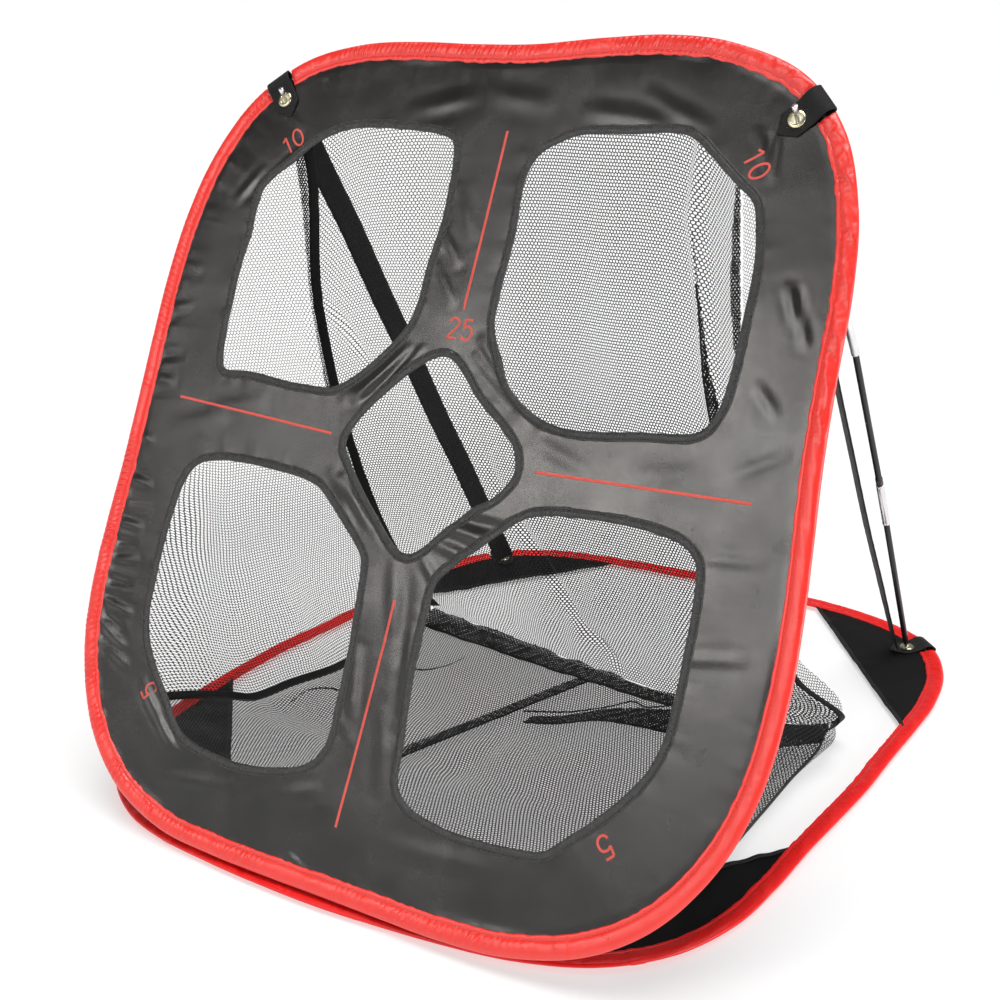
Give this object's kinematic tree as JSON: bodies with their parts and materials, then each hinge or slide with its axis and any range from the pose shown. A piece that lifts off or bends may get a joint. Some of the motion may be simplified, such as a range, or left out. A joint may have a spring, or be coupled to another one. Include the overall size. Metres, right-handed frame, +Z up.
{
  "type": "golf chipping net",
  "caption": "Folding golf chipping net: tilted cloth target panel with ringed openings, mesh ball bag behind it, ground hoop, and sectional poles that prop the panel up.",
  "frame": {"origin": "centre of the bounding box's bottom face, on the ground", "axes": "+Z up; +Y from the front seam towards the rear of the ground hoop; +X to the right as the golfer faces the target"},
  "size_m": [0.7212, 0.763, 0.6722],
  "materials": {
    "sleeve_red": "satin woven nylon",
    "cloth_black": "satin woven polyester",
    "binding_black": "matte woven tape",
    "webbing_black": "matte woven webbing",
    "net_black": "open knitted mesh",
    "pole_black": "semi-gloss fibreglass",
    "ferrule_steel": "bright drawn tube",
    "pin_steel": "polished",
    "spring_steel": "drawn wire",
    "grommet_brass": "polished, pale"
  },
  "bodies": {
    "base": {"base_hoop_wire": "spring_steel", "base_wire_crimp": "spring_steel", "base_sleeve_front": "sleeve_red", "base_sleeve_rear": "sleeve_red", "base_gusset_rear_right": "cloth_black", "base_gusset_rear_left": "cloth_black", "base_gusset_front_right": "cloth_black", "base_gusset_front_left": "cloth_black", "front_seam_tape": "binding_black", "back_net": "net_black", "side_net_right": "net_black", "side_net_left": "net_black", "floor_net": "net_black", "corner_seam_tape_right": "binding_black", "corner_seam_tape_left": "binding_black", "rear_hem_band": "net_black", "floor_seam_tape": "binding_black", "base_tab_right": "webbing_black", "strap_right": "webbing_black", "base_grommet_right": "grommet_brass", "pole_foot_pin_right": "pin_steel", "base_tab_left": "webbing_black", "strap_left": "webbing_black", "base_grommet_left": "grommet_brass", "pole_foot_pin_left": "pin_steel"},
    "panel": {"panel_hoop_wire": "spring_steel", "panel_wire_crimp": "spring_steel", "panel_sleeve_lower": "sleeve_red", "panel_sleeve_top": "sleeve_red", "panel_cloth": "cloth_black", "binding_upper_left": "binding_black", "binding_upper_right": "binding_black", "binding_centre": "binding_black", "binding_lower_left": "binding_black", "binding_lower_right": "binding_black", "panel_tab_right": "webbing_black", "panel_grommet_right": "grommet_brass", "pole_top_pin_right": "pin_steel", "panel_tab_left": "webbing_black", "panel_grommet_left": "grommet_brass", "pole_top_pin_left": "pin_steel"},
    "pole_lower_right": {"pole_lower_rod_right": "pole_black", "pole_lower_ferrule_right": "ferrule_steel"},
    "pole_middle_right": {"pole_middle_rod_right": "pole_black"},
    "pole_upper_right": {"pole_upper_rod_right": "pole_black", "pole_upper_ferrule_right": "ferrule_steel"},
    "pole_lower_left": {"pole_lower_rod_left": "pole_black", "pole_lower_ferrule_left": "ferrule_steel"},
    "pole_middle_left": {"pole_middle_rod_left": "pole_black"},
    "pole_upper_left": {"pole_upper_rod_left": "pole_black", "pole_upper_ferrule_left": "ferrule_steel"}
  },
  "joints": [
    {"name": "panel_fold", "type": "hinge", "parent": "base", "child": "panel", "pos_m": [-0.00244, -0.37223, 0.0196], "axis": [1, 0, 0], "range_deg": [-56, 0], "deforming": ["back_net", "side_net_right", "side_net_left", "corner_seam_tape_right", "corner_seam_tape_left", "strap_right", "strap_left"]},
    {"name": "pole_foot_swivel_right", "type": "hinge", "parent": "base", "child": "pole_lower_right", "pos_m": [0.26036, 0.30048, 0.01464], "axis": [1, 0, 0], "range_deg": [0, 58]},
    {"name": "pole_ferrule_fold_right", "type": "hinge", "parent": "pole_lower_right", "child": "pole_middle_right", "pos_m": [0.26726, 0.18086, 0.24215], "axis": [1, 0, 0], "range_deg": [-174, 0]},
    {"name": "pole_top_swivel_right", "type": "hinge", "parent": "panel", "child": "pole_upper_right", "pos_m": [0.26046, -0.02165, 0.60156], "axis": [-0.578, 0.7252, 0.3743], "range_deg": [0, 68]},
    {"name": "pole_foot_swivel_left", "type": "hinge", "parent": "base", "child": "pole_lower_left", "pos_m": [-0.26523, 0.30048, 0.01464], "axis": [1, 0, 0], "range_deg": [0, 58]},
    {"name": "pole_ferrule_fold_left", "type": "hinge", "parent": "pole_lower_left", "child": "pole_middle_left", "pos_m": [-0.27214, 0.18086, 0.24215], "axis": [1, 0, 0], "range_deg": [-174, 0]},
    {"name": "pole_top_swivel_left", "type": "hinge", "parent": "panel", "child": "pole_upper_left", "pos_m": [-0.26533, -0.02165, 0.60156], "axis": [-0.578, -0.7252, -0.3743], "range_deg": [0, 68]}
  ],
  "couplings": [
    {"joint": "pole_foot_swivel_right", "follows": "panel_fold", "ratio": -1.03},
    {"joint": "pole_ferrule_fold_right", "follows": "panel_fold", "ratio": 3.1},
    {"joint": "pole_top_swivel_right", "follows": "panel_fold", "ratio": -1.2},
    {"joint": "pole_foot_swivel_left", "follows": "panel_fold", "ratio": -1.03},
    {"joint": "pole_ferrule_fold_left", "follows": "panel_fold", "ratio": 3.1},
    {"joint": "pole_top_swivel_left", "follows": "panel_fold", "ratio": -1.2}
  ]
}
